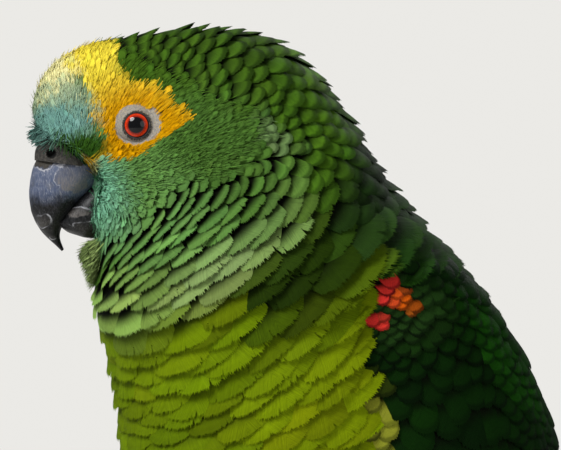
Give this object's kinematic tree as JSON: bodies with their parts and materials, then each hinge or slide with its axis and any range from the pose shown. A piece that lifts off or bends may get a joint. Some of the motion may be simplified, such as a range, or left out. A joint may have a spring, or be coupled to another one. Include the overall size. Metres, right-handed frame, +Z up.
{
  "type": "turquoise-fronted amazon parrot",
  "caption": "Green amazon parrot with a turquoise forehead, yellow face and ruffled neck, perched on a cut branch on a display stand.",
  "frame": {"origin": "middle of the stand base's flat underside", "axes": "+Z up; the bill points along -X; the bird's left side faces -Y, and its body is turned 32 degrees towards -Y below the head"},
  "size_m": [0.1868, 0.159, 0.3478],
  "materials": {
    "face_feathers": "soft small overlapping feathers: turquoise forehead, yellow face, green crown",
    "neck_feathers": "ruffled overlapping feathers, yellow-green with darker edges",
    "body_feathers": "overlapping feathers, olive yellow-green",
    "wing_feathers": "smooth overlapping vanes, dark green with a red and orange shoulder patch",
    "flight_feathers": "smooth stiff vanes, green-black with a blue tinge",
    "tail_feathers": "smooth vanes, green with yellow-green ends",
    "bill_horn": "horn, worn satin, dark grey with pale flaking ridges",
    "cere_skin": "bare grey skin",
    "eyeball": "wet gloss, red iris and black pupil",
    "foot_skin": "scaly grey skin",
    "claw_horn": "horn, satin, near black",
    "base_wood": "satin dark wood",
    "branch_wood": "rough bark",
    "rod_steel": "brushed"
  },
  "bodies": {
    "root": {"head": "face_feathers", "neck": "neck_feathers", "trunk": "body_feathers", "upper_bill": "bill_horn", "lower_bill": "bill_horn", "cere": "cere_skin", "eye_left": "eyeball", "eye_right": "eyeball", "tail": "tail_feathers", "wing_left_coverts": "wing_feathers", "wing_left_secondaries": "wing_feathers", "wing_left_primaries": "flight_feathers", "thigh_left": "body_feathers", "shank_left": "foot_skin", "toe_left_inner_front": "foot_skin", "claw_left_inner_front": "claw_horn", "toe_left_outer_front": "foot_skin", "claw_left_outer_front": "claw_horn", "toe_left_inner_back": "foot_skin", "claw_left_inner_back": "claw_horn", "toe_left_outer_back": "foot_skin", "claw_left_outer_back": "claw_horn", "wing_right_coverts": "wing_feathers", "wing_right_secondaries": "wing_feathers", "wing_right_primaries": "flight_feathers", "thigh_right": "body_feathers", "shank_right": "foot_skin", "toe_right_inner_front": "foot_skin", "claw_right_inner_front": "claw_horn", "toe_right_outer_front": "foot_skin", "claw_right_outer_front": "claw_horn", "toe_right_inner_back": "foot_skin", "claw_right_inner_back": "claw_horn", "toe_right_outer_back": "foot_skin", "claw_right_outer_back": "claw_horn", "stand_base": "base_wood", "stand_perch": "branch_wood", "stand_rod_left": "rod_steel", "stand_rod_right": "rod_steel"}
  },
  "joints": []
}
